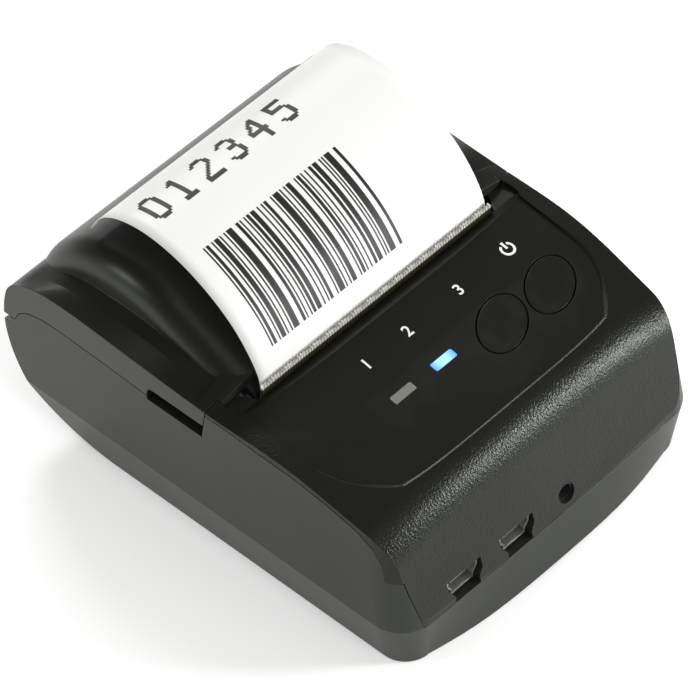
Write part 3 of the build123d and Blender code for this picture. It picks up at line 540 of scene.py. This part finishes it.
def make_top_finish():
    """Satin inside the deck, leather grain outside it."""
    material = make_finish("top_shell_black", BLACK, BLACK_SOFT, (0.34, 0.42), wear=0.3,
                           specular=SOFT_SHINE)
    tree = material.node_tree
    shader = tree.nodes["Principled BSDF"]
    shader.inputs["Specular Tint"].default_value = BLACK_SHEEN
    inside = use_group(tree, DECK_MASK, Power=4.0).outputs["Mask"]
    outside = add_math(tree, "SUBTRACT", 1.0, inside)
    grain = use_group(tree, GRAIN, Scale=2500.0)
    satin = use_group(tree, SATIN, Scale=5200.0)
    pebbles = add_math(tree, "MULTIPLY", grain.outputs["Height"], outside)
    bump_grain = add_bump(tree, pebbles, 0.6, 0.00009)
    soften_edges(tree, bump_grain, 0.0001)
    bump_satin = add_bump(tree, satin.outputs["Height"], 0.12, 0.00001)
    tree.links.new(bump_grain.outputs["Normal"], bump_satin.inputs["Normal"])
    tree.links.new(bump_satin.outputs["Normal"], shader.inputs["Normal"])
    smooth = spread(tree, satin.outputs["Cloud"], 0.30, 0.38)
    coarse = spread(tree, grain.outputs["Valley"], 0.24, 0.36)
    rough = tree.nodes.new("ShaderNodeMix")
    tree.links.new(inside, rough.inputs["Factor"])
    tree.links.new(coarse, rough.inputs[2])
    tree.links.new(smooth, rough.inputs[3])
    tree.links.new(rough.outputs[0], shader.inputs["Roughness"])
    return material


finishes["top_black"] = make_top_finish()
print("top shell:", finishes["top_black"].name)

# %% [markdown]
# Smooth black plastic
# The tub, the cover, the door and the keys come from polished moulds. They share the black of
# the top shell and have hardly any texture, so what shows is their highlights. A rounded look
# on sharp edges could be cut into the meshes, but the meshes stay as packed, so the shader
# rounds them for the light only.

# %% Smooth black mouldings
MOULDED_EDGE = 0.25 * MM


def make_smooth_black(slot, rough, specular=0.5):
    """Smooth black plastic with softened edges."""
    material = make_finish(slot, BLACK, BLACK_SOFT, rough, bump=0.16, depth=0.00001,
                           specular=specular, edge=MOULDED_EDGE)
    shader = material.node_tree.nodes["Principled BSDF"]
    shader.inputs["Specular Tint"].default_value = BLACK_SHEEN
    return material


finishes["case_black"] = make_smooth_black("case_black", (0.36, 0.46))
finishes["cover_black"] = make_smooth_black("cover_black", (0.33, 0.43))
finishes["key_black"] = make_smooth_black("key_black", (0.32, 0.40), SOFT_SHINE)
print("black mouldings:", sorted(finishes))

# %% [markdown]
# The tear edge
# The paper is torn against a strip of pressed steel with a fine row of ribs, whose lower part is
# coloured dark brown. Ribs 0.65 mm apart could be modelled one by one, but from any usual
# distance they are only a shimmer, so here a sine wave along X gives them their bump and paints
# their light and their shade into the colour, and a step in height divides the bright ribs from
# the dark brown below them. The ribs' near-white colour with little metal is a painted
# reflection of the bright steel.

# %% Tear edge
TOOTH_PITCH = 0.65 * MM
BROWN_BAND_TOP = 36.35 * MM
RIBS_START = 36.55 * MM
# Painted shade in the valleys between the ribs.
RIB_VALLEY_SHADE = (0.42, 0.42, 0.38)
# Dark brown for the strip's lower part, below the ribs.
LOWER_BAND_BROWN = (0.045, 0.040, 0.022)


def make_tear_finish():
    """Pressed teeth with painted light and shade: a fine row of ribs along X, over a dark brown
    lower part.
    """
    # The near-white colour with little metal is a painted reflection of the bright steel.
    material = make_finish("tear_edge", (0.86, 0.86, 0.82), (0.94, 0.94, 0.90), (0.30, 0.42),
                           BRUSHED, 900.0, 0.2, metal=0.2, wear=0.2, worn_and_glint=(0.98, 0.98, 0.96))
    tree = material.node_tree
    shader = tree.nodes["Principled BSDF"]
    split = tree.nodes.new("ShaderNodeSeparateXYZ")
    tree.links.new(place_coordinates(tree), split.inputs[0])
    # The sine wave paints light on the ribs and shade in their valleys.
    turn = add_math(tree, "MULTIPLY", split.outputs["X"], 2 * math.pi / TOOTH_PITCH)
    swing = add_math(tree, "MULTIPLY", add_math(tree, "SINE", turn), 0.5)
    wave = add_math(tree, "ADD", swing, 0.5)
    plain = shader.inputs["Base Color"].links[0].from_socket
    rib_light_and_shade = blend_colours(tree, wave, RIB_VALLEY_SHADE, plain)
    rise = tree.nodes.new("ShaderNodeMapRange")
    rise.inputs["From Min"].default_value = BROWN_BAND_TOP
    rise.inputs["From Max"].default_value = RIBS_START
    tree.links.new(split.outputs["Z"], rise.inputs["Value"])
    stepped = blend_colours(tree, rise.outputs[0], LOWER_BAND_BROWN, rib_light_and_shade)
    tree.links.new(stepped, shader.inputs["Base Color"])
    ribs = add_bump(tree, wave, 0.8, 0.0002)
    tree.links.new(shader.inputs["Normal"].links[0].from_socket, ribs.inputs["Normal"])
    tree.links.new(ribs.outputs["Normal"], shader.inputs["Normal"])
    return material


finishes["tear_edge"] = make_tear_finish()
print("ribs on the tear edge:", round(57.5 * MM / TOOTH_PITCH))

# %% [markdown]
# Metals
# Pins, screws and springs are bright steel, the socket shells and the shield of the radio are
# tinned, the motor can is plated, the heat sink is milled aluminium, and the battery contacts
# and the motor's pinion are brass. Rolling and brushing leave fine lines in all of them, so
# they share the brushed effect and differ only in colour, roughness and the width of their
# lines.

# %% Metals
def make_metal(name, colour, second, rough, scale, worn_and_glint, bump=0.2, depth=0.00002):
    """Bare metal: the shared recipe with the brushed effect."""
    return make_finish(name, colour, second, rough, BRUSHED, scale, bump, depth,
                       metal=1.0, worn_and_glint=worn_and_glint)


finishes["steel"] = make_metal(
    "bright_steel", (0.62, 0.62, 0.60), (0.74, 0.74, 0.72), (0.22, 0.36),
    scale=900.0, bump=0.25, worn_and_glint=(0.9, 0.9, 0.88))
# The socket shells' dark colour paints the shade seen inside the sockets, and their near-white
# edge colour paints the highlight on their rims.
finishes["socket_steel"] = make_finish(
    "socket_steel", (0.30, 0.30, 0.28), (0.44, 0.44, 0.41), (0.24, 0.36),
    BRUSHED, 1300.0, 0.2, metal=0.75, worn_and_glint=(0.95, 0.95, 0.93), edge=0.00015)
finishes["shield"] = make_metal(
    "tinned_can", (0.62, 0.62, 0.58), (0.72, 0.72, 0.68), (0.28, 0.42),
    scale=700.0, worn_and_glint=(0.85, 0.85, 0.82))
finishes["motor_steel"] = make_metal(
    "plated_can", (0.52, 0.52, 0.50), (0.66, 0.65, 0.62), (0.28, 0.40),
    scale=500.0, bump=0.25, worn_and_glint=(0.8, 0.8, 0.78))
finishes["aluminium"] = make_metal(
    "milled_aluminium", (0.68, 0.69, 0.70), (0.80, 0.80, 0.81), (0.30, 0.44),
    scale=600.0, bump=0.35, depth=0.00003, worn_and_glint=(0.92, 0.92, 0.92))
finishes["brass"] = make_metal(
    "turned_brass", (0.66, 0.46, 0.16), (0.80, 0.60, 0.28), (0.22, 0.34),
    scale=900.0, worn_and_glint=(0.95, 0.80, 0.45))
print("finishes after the metals:", len(finishes))

# %% [markdown]
# Plastics and rubber
# The inner frame is grey-black plastic with a visible texture, the roller is ground rubber, the
# gears are cream acetal, and the bushings, switches, push pins and round socket are plain
# black. Plastics differ more in roughness than in colour, so each has its own roughness range,
# and the blacks are told apart by that alone.

# %% Plastics and rubber
finishes["frame_grey"] = make_finish(
    "frame_grey", (0.020, 0.020, 0.022), (0.034, 0.034, 0.036), (0.45, 0.6),
    scale=2600.0, bump=0.3, depth=0.00003)
finishes["rubber_black"] = make_finish(
    "ground_rubber", (0.014, 0.014, 0.015), (0.026, 0.026, 0.028), (0.62, 0.78),
    scale=5200.0, bump=0.4, wear=0.2)
finishes["gear_white"] = make_finish(
    "acetal_white", (0.70, 0.68, 0.60), (0.80, 0.78, 0.71), (0.36, 0.46),
    scale=3000.0, bump=0.15, wear=0.3, worn_and_glint=(0.9, 0.88, 0.82))
finishes["bushing_black"] = make_finish(
    "acetal_black", (0.02, 0.02, 0.02), (0.03, 0.03, 0.03), (0.40, 0.50),
    scale=3000.0, bump=0.15)
finishes["switch_black"] = make_finish(
    "switch_black", (0.016, 0.016, 0.016), (0.026, 0.026, 0.026), (0.42, 0.55),
    scale=3000.0, bump=0.15)
finishes["jack_black"] = make_finish(
    "jack_black", (0.010, 0.010, 0.010), (0.018, 0.018, 0.018), (0.38, 0.5),
    scale=3000.0, bump=0.15)
print("finishes after the plastics:", len(finishes))

# %% [markdown]
# Boards, card, sleeve and lamps
# The circuit boards are green with a glassy coat, the heated line of the print head sits on
# glazed ceramic, the paper is wound on a tube of brown card, and the battery wears a blue
# shrink sleeve. The unlit window is clear grey plastic. It could be real glass, but the lamp
# behind it is off, so a smooth grey surface looks the same and renders faster.

# %% Boards, card, sleeve and lamps
finishes["board_green"] = make_finish(
    "board_green", (0.010, 0.075, 0.035), (0.016, 0.105, 0.05), (0.25, 0.38),
    scale=1600.0, bump=0.2, worn_and_glint=(0.35, 0.32, 0.12))
finishes["ceramic"] = make_finish(
    "glazed_ceramic", (0.60, 0.58, 0.52), (0.70, 0.68, 0.62), (0.12, 0.22),
    scale=1800.0, bump=0.08, worn_and_glint=(0.8, 0.78, 0.74))
finishes["card"] = make_finish(
    "wound_card", (0.36, 0.25, 0.15), (0.48, 0.35, 0.22), (0.75, 0.9),
    scale=1500.0, bump=0.5, depth=0.00005, worn_and_glint=(0.55, 0.42, 0.28))
finishes["battery_sleeve"] = make_finish(
    "shrink_sleeve", (0.02, 0.055, 0.16), (0.03, 0.075, 0.21), (0.22, 0.34),
    scale=900.0, bump=0.25, worn_and_glint=(0.2, 0.3, 0.5))
finishes["lamp_white"] = make_finish(
    "lamp_white", (0.74, 0.74, 0.66), (0.82, 0.82, 0.75), (0.3, 0.42),
    scale=2600.0, bump=0.1, worn_and_glint=(0.9, 0.9, 0.85))
finishes["window_grey"] = make_finish(
    "window_unlit", (0.15, 0.145, 0.13), (0.23, 0.225, 0.205), (0.16, 0.26),
    scale=3400.0, bump=0.1, worn_and_glint=(0.4, 0.38, 0.34))
print("finishes:", len(finishes))

# %% [markdown]
# The lit window
# The power window is a clear plug with a blue lamp under it. It glows hottest in the middle and
# blue at its ends. A real lamp behind real glass would be slow and noisy, so the window itself
# gives off light, in a colour that changes with the distance from its middle.

# %% Lit window
LIT_MIDDLE_X = -1.8 * MM
GLOW_END = 2.6 * MM
GLOW_CORE = 0.8 * MM
GLOW_BLUE = (0.04, 0.22, 1.0)
GLOW_PALE = (0.42, 0.74, 1.0)


def make_lit_window():
    """A light pipe that glows white in the middle and blue at the ends."""
    material = make_finish("window_lit", (0.10, 0.24, 0.50), (0.14, 0.30, 0.58), (0.15, 0.25),
                           scale=3400.0)
    tree = material.node_tree
    shader = tree.nodes["Principled BSDF"]
    split = tree.nodes.new("ShaderNodeSeparateXYZ")
    tree.links.new(place_coordinates(tree), split.inputs[0])
    away = add_math(tree, "SUBTRACT", split.outputs["X"], LIT_MIDDLE_X)
    away = add_math(tree, "ABSOLUTE", away)
    glow = tree.nodes.new("ShaderNodeMapRange")
    glow.inputs["From Min"].default_value = GLOW_END
    glow.inputs["From Max"].default_value = GLOW_CORE
    tree.links.new(away, glow.inputs["Value"])
    colour = blend_colours(tree, glow.outputs[0], GLOW_BLUE, GLOW_PALE)
    tree.links.new(colour, shader.inputs["Emission Color"])
    shader.inputs["Emission Strength"].default_value = 0.95
    return material


finishes["window_blue"] = make_lit_window()
print("lit window is", round(2 * GLOW_END / MM, 1), "mm from blue end to blue end")

# %% [markdown]
# The paper's finish
# Thermal paper is a smooth white sheet with a waxy coat. Pure white would leave no room for
# shading, so its colour is a little under white, with a faint fibre and a soft sheen.

# %% Paper finish
finishes["paper_white"] = make_finish(
    "thermal_paper", (0.79, 0.79, 0.775), (0.83, 0.83, 0.815), (0.42, 0.55),
    scale=2200.0, bump=0.12, wear=0.0, worn_and_glint=(0.85, 0.85, 0.87))
print("all finishes:", sorted(finishes))

# %% [markdown]
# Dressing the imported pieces
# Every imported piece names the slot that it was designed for, so one loop can dress them all.
# The tear bar is the one piece with a finish of its own. Only the materials change here, and
# the meshes stay as they were packed.

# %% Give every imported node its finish
slot_of = {s["node"]: s["material_slot"] for s in frame["record"]["subparts"]}
for name, obj in nodes.items():
    obj.data.materials.clear()
    finish = "tear_edge" if name == "tear_bar" else slot_of[name]
    obj.data.materials.append(finishes[finish])
print("nodes dressed:", len(nodes))

# %% [markdown]
# The curl of paper
# The paper leaves the slot, rises in front of the cover and bends back over it. The solid model
# holds a stiff strip there. A cloth simulation could find a curl too, but it would not find the
# one in the picture, so the sheet is swept along a smooth curve through chosen places, with
# the same side view all across its width.

# %% Paper curve
PAPER_HALF = 28.75 * MM
RUN_POINTS = 260
PAPER_PLACES = [
    (10.3, 11.1), (5.0, 17.04), (0.0, 22.64), (-2.94, 25.94), (-3.75, 27.2), (-4.14, 28.8),
    (-4.25, 32.0), (-4.36, 36.9), (-2.4, 41.7), (1.6, 46.9), (5.7, 50.25), (9.85, 52.68),
    (14.0, 54.38), (18.2, 55.38), (22.4, 55.68), (26.75, 55.08), (31.15, 53.18), (33.3, 51.15),
    (35.42, 47.4),
]
EXIT_PLACE = 7


def smooth_run(places, count):
    """Points of a natural cubic curve through the places, with the length along each."""
    p = np.array(places, float)
    t = np.concatenate([[0], np.cumsum(np.hypot(*np.diff(p, axis=0).T))])
    n = len(p)
    h = np.diff(t)
    a = np.zeros((n, n))
    a[0, 0] = a[-1, -1] = 1
    r = np.zeros((n, 2))
    for i in range(1, n - 1):
        a[i, i - 1:i + 2] = (h[i - 1], 2 * (h[i - 1] + h[i]), h[i])
        r[i] = 6 * ((p[i + 1] - p[i]) / h[i] - (p[i] - p[i - 1]) / h[i - 1])
    m = np.linalg.solve(a, r)
    s = np.linspace(0, t[-1], count)
    k = np.clip(np.searchsorted(t, s) - 1, 0, n - 2)
    u = (s - t[k])[:, None]
    w = (t[k + 1] - s)[:, None]
    hk = h[k][:, None]
    out = (m[k] * w**3 + m[k + 1] * u**3) / (6 * hk)
    out += (p[k] / hk - m[k] * hk / 6) * w + (p[k + 1] / hk - m[k + 1] * hk / 6) * u
    return out * MM, s * MM, t * MM


run, along, knots = smooth_run(PAPER_PLACES, RUN_POINTS)
exit_length = knots[EXIT_PLACE]
print("paper run", round(along[-1], 4), "m; above the slot", round(along[-1] - exit_length, 4))


def paper_place(x, length):
    """The place on the sheet's front face at x and at a length along its run."""
    y = np.interp(length, along, run[:, 0])
    z = np.interp(length, along, run[:, 1])
    return Vector((x, y, z))


def paper_normal(length):
    """The direction out of the printed face at a length along the run."""
    step = 0.4 * MM
    d = paper_place(0, min(length + step, along[-1])) - paper_place(0, max(length - step, 0))
    return Vector((0, -d.z, d.y)).normalized()


print("at the slot the print looks toward", [round(v, 2) for v in paper_normal(exit_length)])

# %% [markdown]
# The sheet
# The sheet is a grid of small faces along the curve. A solid box would do for a still picture,
# but a grid with a thickness modifier keeps one clean surface for the print to lie on, and the
# sheet still has a real edge. It rides on the cover, because it is nipped by the cover's roller.

# %% Paper sheet
PAPER_COLUMNS = 26
PAPER_DEPTH = 0.10 * MM
FACE_LIFT = 0.02 * MM


def build_paper():
    """The sheet as a grid with a thin edge."""
    bm = bmesh.new()
    rows = []
    for i, length in enumerate(along):
        n = paper_normal(length)
        row = []
        for j in range(PAPER_COLUMNS + 1):
            x = -PAPER_HALF + 2 * PAPER_HALF * j / PAPER_COLUMNS
            row.append(bm.verts.new(paper_place(x, length) + n * FACE_LIFT))
        rows.append(row)
    for i in range(len(rows) - 1):
        for j in range(PAPER_COLUMNS):
            bm.faces.new((rows[i][j], rows[i][j + 1], rows[i + 1][j + 1], rows[i + 1][j]))
    mesh = bpy.data.meshes.new("receipt_paper")
    bm.to_mesh(mesh)
    bm.free()
    sheet = bpy.data.objects.new("receipt_paper", mesh)
    bpy.context.scene.collection.objects.link(sheet)
    mesh.materials.append(finishes["paper_white"])
    for polygon in mesh.polygons:
        polygon.use_smooth = True
    solid = sheet.modifiers.new("thickness", "SOLIDIFY")
    solid.thickness = PAPER_DEPTH
    solid.offset = 0
    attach(sheet, "paper_cover")
    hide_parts("paper_strip")
    return sheet


paper = build_paper()
print("paper faces:", len(paper.data.polygons))

# %% [markdown]
# The print on the paper
# A thermal head burns small square dots and draws large characters as blocks of them. The slip
# shows a row of plain digits and a bar pattern. A picture could be wrapped on the sheet, but
# thin patches of ink need no picture file and stay sharp at any size. They are laid a hair
# above the sheet, each cut into short steps so that it follows the curl.

# %% Dot digits
DIGITS = {
    "0": "3C 7E C3 C3 C3 C3 C3 C3 C3 C3 C3 7E 3C",
    "1": "18 38 78 18 18 18 18 18 18 18 18 7E 7E",
    "2": "3C 7E C3 03 03 06 0C 18 30 60 C0 FF FF",
    "3": "3C 7E C3 03 03 1E 1E 03 03 03 C3 7E 3C",
    "4": "06 0E 1E 36 36 66 C6 FF FF 06 06 06 06",
    "5": "FF FF C0 C0 FC FE 03 03 03 03 C3 7E 3C",
}
DOT_COLUMNS = 8
DIGIT_PITCH = 6.3 * MM
DOT_WIDE = 0.50 * MM
DOT_HIGH = 0.52 * MM
ink_patches = []


def add_patch(x0, x1, s0, s1):
    """Note one rectangle of ink between two widths and two lengths past the slot."""
    ink_patches.append((x0, x1, s0 + exit_length, s1 + exit_length))


def digit_runs(mark):
    """The dots of one digit, joined into runs: row, first column and the column after."""
    rows = [format(int(row, 16), f"0{DOT_COLUMNS}b") for row in DIGITS[mark].split()]
    for number, row in enumerate(rows):
        column = 0
        while column < DOT_COLUMNS:
            width = len(row[column:]) - len(row[column:].lstrip("1"))
            if width:
                yield len(rows) - 1 - number, column, column + width
            column += max(width, 1)


def print_digits(text, x_start, s_base):
    """A row of large dot digits whose tops point to the free end of the paper."""
    for k, mark in enumerate(text):
        left = x_start + k * DIGIT_PITCH
        for row, first, after in digit_runs(mark):
            low = s_base + row * DOT_HIGH
            add_patch(left + first * DOT_WIDE, left + after * DOT_WIDE, low, low + DOT_HIGH)


print_digits("012345", -25.0 * MM, 34.2 * MM)
print("ink patches in the digits:", len(ink_patches))

# %% Bars
BAR_WIDTHS = "121311421123112141131211231142"
BAR_GAPS = "12112131211221311213112212113"


def print_bars(x0, x1, s0, s1):
    """A made-up bar pattern of four widths that fills the space between two widths."""
    units = sum(int(c) for c in BAR_WIDTHS + BAR_GAPS)
    unit = (x1 - x0) / units
    x = x0
    for bar, gap in zip(BAR_WIDTHS, BAR_GAPS + "0"):
        add_patch(x, x + int(bar) * unit, s0, s1)
        x += (int(bar) + int(gap)) * unit
    return unit


bar_unit = print_bars(-23.8 * MM, 9.2 * MM, 4.6 * MM, 25.4 * MM)
print("ink patches:", len(ink_patches), "bar unit:", round(bar_unit / MM, 3), "mm")


# %% [markdown]
# Ink
# Heat turns the paper's own coat black, so the ink has no thickness to speak of. The patches
# become one mesh, which rides on the cover with the sheet.

# %% Ink on the sheet
PRINT_LIFT = 0.09 * MM
INK_STEP = 0.55 * MM


def make_ink():
    """Burnt thermal black, a little brownish and uneven."""
    return make_finish("thermal_ink", (0.012, 0.011, 0.012), (0.022, 0.020, 0.021), (0.45, 0.6),
                       scale=1800.0, bump=0.1, wear=0.0)


def build_ink():
    """All ink patches as one piece that follows the sheet."""
    bm = bmesh.new()
    for x0, x1, s0, s1 in ink_patches:
        steps = max(1, int(math.ceil((s1 - s0) / INK_STEP)))
        last = None
        for i in range(steps + 1):
            s = s0 + (s1 - s0) * i / steps
            lift = paper_normal(s) * PRINT_LIFT
            pair = [bm.verts.new(paper_place(x, s) + lift) for x in (x0, x1)]
            if last:
                bm.faces.new((last[0], last[1], pair[1], pair[0]))
            last = pair
    mesh = bpy.data.meshes.new("receipt_print")
    bm.to_mesh(mesh)
    bm.free()
    ink = bpy.data.objects.new("receipt_print", mesh)
    bpy.context.scene.collection.objects.link(ink)
    mesh.materials.append(make_ink())
    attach(ink, "paper_cover")
    return ink


ink = build_ink()
print("ink faces:", len(ink.data.polygons))

# %% [markdown]
# Marks on the deck
# White screen print stands over each lamp and key: plain numbers for the lamps and the feed
# key, and a ring and bar for the switch-on key. They could be part of the deck's material, but
# small flat shapes are easier to place and stay crisp. They are drawn flat, turned onto the
# deck's slope and dropped until they touch it.

# %% Deck plane
DECK_SLOPE = math.atan(0.194)
DECK_ORIGIN = Vector((0, -0.0049, 0.03754))
DECK_NORMAL = Vector((0, -math.sin(DECK_SLOPE), math.cos(DECK_SLOPE)))
DECK_UP = Vector((0, math.cos(DECK_SLOPE), math.sin(DECK_SLOPE)))


RAY_START = 4.0 * MM


def deck_drop(x, v):
    """How far below the deck's plane the shell really lies at a place, by a ray."""
    start = DECK_ORIGIN + Vector((x, 0, 0)) + DECK_UP * v + DECK_NORMAL * RAY_START
    hit, place, _, _ = nodes["top_shell"].ray_cast(start, -DECK_NORMAL)
    return (place - start).length - RAY_START if hit else 0.0


print("deck drop between the keys:", round(deck_drop(0.0, -12 * MM), 5))

# %% Mark ink and its place
MARK_LIFT = 0.03 * MM


def make_mark_ink():
    """Matt white screen print."""
    return make_finish("deck_print", (0.74, 0.75, 0.75), (0.80, 0.80, 0.80), (0.5, 0.65),
                       scale=2600.0, bump=0.2, wear=0.0)


MARK_INK = make_mark_ink()


def lay_on_deck(mesh, name, x, v):
    """Turn a flat mesh drawn in XY into a mark on the deck at x and v."""
    for vertex in mesh.vertices:
        u = x + vertex.co.x
        w = v + vertex.co.y
        drop = deck_drop(u, w)
        place = DECK_ORIGIN + Vector((u, 0, 0)) + DECK_UP * w
        vertex.co = place - DECK_NORMAL * (drop - MARK_LIFT)
    mark = bpy.data.objects.new(name, mesh)
    bpy.context.scene.collection.objects.link(mark)
    mesh.materials.clear()
    mesh.materials.append(MARK_INK)
    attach(mark, "housing")
    return mark


print("mark ink:", MARK_INK.name)

# %% Plain numbers
DIGIT_SHARE = 0.72


def flat_text(text, height):
    """A plain number as a flat mesh, centred on the origin."""
    curve = bpy.data.curves.new("mark", "FONT")
    curve.body = text
    curve.size = height / DIGIT_SHARE
    curve.align_x = "CENTER"
    curve.align_y = "CENTER"
    curve.resolution_u = 6
    curve.offset = height * 0.02
    holder = bpy.data.objects.new("mark_holder", curve)
    bpy.context.scene.collection.objects.link(holder)
    bpy.context.view_layer.update()
    mesh = bpy.data.meshes.new_from_object(holder)
    bpy.data.objects.remove(holder)
    bpy.data.curves.remove(curve)
    return mesh


LABEL_V = -9.4 * MM
LABEL_HEIGHT = 2.3 * MM
LABELS = (("1", "mark_mode", -12.4), ("2", "mark_lamp", -2.0), ("3", "mark_feed", 11.2))
for text, name, x in LABELS:
    lay_on_deck(flat_text(text, LABEL_HEIGHT), name, x * MM, LABEL_V)
print("numbers on the deck:", [name for _, name, _ in LABELS])

# %% Ring and bar
RING_OPEN = math.radians(34)
RING_STEPS = 40
BAR_LOW = 0.05
BAR_HIGH = 1.35


def ring_and_bar(radius, width):
    """An open ring with a bar standing in its gap, as a flat mesh."""
    bm = bmesh.new()
    last = None
    for i in range(RING_STEPS + 1):
        share = i / RING_STEPS
        turn = math.pi / 2 + RING_OPEN + (2 * math.pi - 2 * RING_OPEN) * share
        pair = [bm.verts.new((r * math.cos(turn), r * math.sin(turn), 0))
                for r in (radius - width / 2, radius + width / 2)]
        if last:
            bm.faces.new((last[0], last[1], pair[1], pair[0]))
        last = pair
    half = width / 2
    low, high = BAR_LOW * radius, BAR_HIGH * radius
    corners = [(-half, low), (half, low), (half, high), (-half, high)]
    bm.faces.new([bm.verts.new((x, y, 0)) for x, y in corners])
    mesh = bpy.data.meshes.new("ring_and_bar")
    bm.to_mesh(mesh)
    bm.free()
    return mesh


switch_mark = ring_and_bar(1.25 * MM, 0.5 * MM)
lay_on_deck(switch_mark, "mark_power", 24.3 * MM, LABEL_V + 0.3 * MM)
print("ring and bar faces:", len(switch_mark.polygons))
